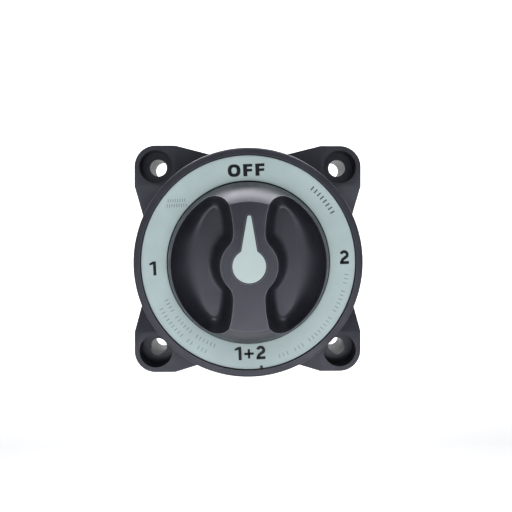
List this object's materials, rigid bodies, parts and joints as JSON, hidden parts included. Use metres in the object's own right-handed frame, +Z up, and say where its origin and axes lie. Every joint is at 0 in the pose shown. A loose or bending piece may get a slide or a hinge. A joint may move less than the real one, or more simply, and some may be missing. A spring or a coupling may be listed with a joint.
{
  "type": "marine battery selector switch",
  "caption": "Panel or surface mounted marine battery selector with a round recessed-grip knob, a dial ring and corner mounting ears.",
  "frame": {"origin": "centre of the four-hole mounting pattern, on the rear mounting plane", "axes": "-Y along the switch axis towards the knob and the user, +X to the right and +Z up as the dial is read"},
  "size_m": [0.134, 0.076, 0.134],
  "materials": {
    "case_plastic": "fine spark-eroded texture, near-black grey",
    "cover_plastic": "fine spark-eroded texture, near-black grey, satin",
    "knob_plastic": "satin, near-black grey, finely textured top",
    "base_plastic": "moulded thermoset, dark, semi-matt",
    "carrier_plastic": "natural nylon",
    "label_film": "pale grey-green photoluminescent film, satin",
    "pointer_plastic": "pale grey-green photoluminescent moulding",
    "seal_rubber": "black nitrile",
    "steel": "stainless, turned",
    "polished_steel": "polished bearing balls",
    "spring_steel": "drawn wire",
    "copper": null,
    "stud_plating": "tin-plated copper",
    "bush_brass": "turned brass"
  },
  "bodies": {
    "case": {"outer_case": "case_plastic", "port_blanks": "case_plastic", "front_cover": "cover_plastic", "cover_gasket": "seal_rubber", "cover_screws": "steel", "dial_label": "label_film", "contact_base": "base_plastic", "cover_pillars": "base_plastic", "detent_blocks": "base_plastic", "terminal_barrier": "base_plastic", "base_screws": "steel", "common_contact": "copper", "contact_1": "copper", "contact_2": "copper", "common_stud": "stud_plating", "stud_1": "stud_plating", "stud_2": "stud_plating", "flat_washers": "steel", "lock_washers": "steel", "stud_nuts": "steel", "shaft_bush": "bush_brass", "detent_balls": "polished_steel", "detent_springs": "spring_steel"},
    "knob": {"knob": "knob_plastic", "pointer_insert": "pointer_plastic", "knob_screw": "steel", "knob_washer": "steel", "rotor_shaft": "steel", "shaft_seal": "seal_rubber", "retaining_clip": "spring_steel", "contact_carrier": "carrier_plastic", "moving_contact": "copper", "contact_springs": "spring_steel"}
  },
  "joints": [
    {"name": "knob_turn", "type": "hinge", "parent": "case", "child": "knob", "pos_m": [0, -0.05, 0], "axis": [0, -1, 0], "continuous": true}
  ]
}
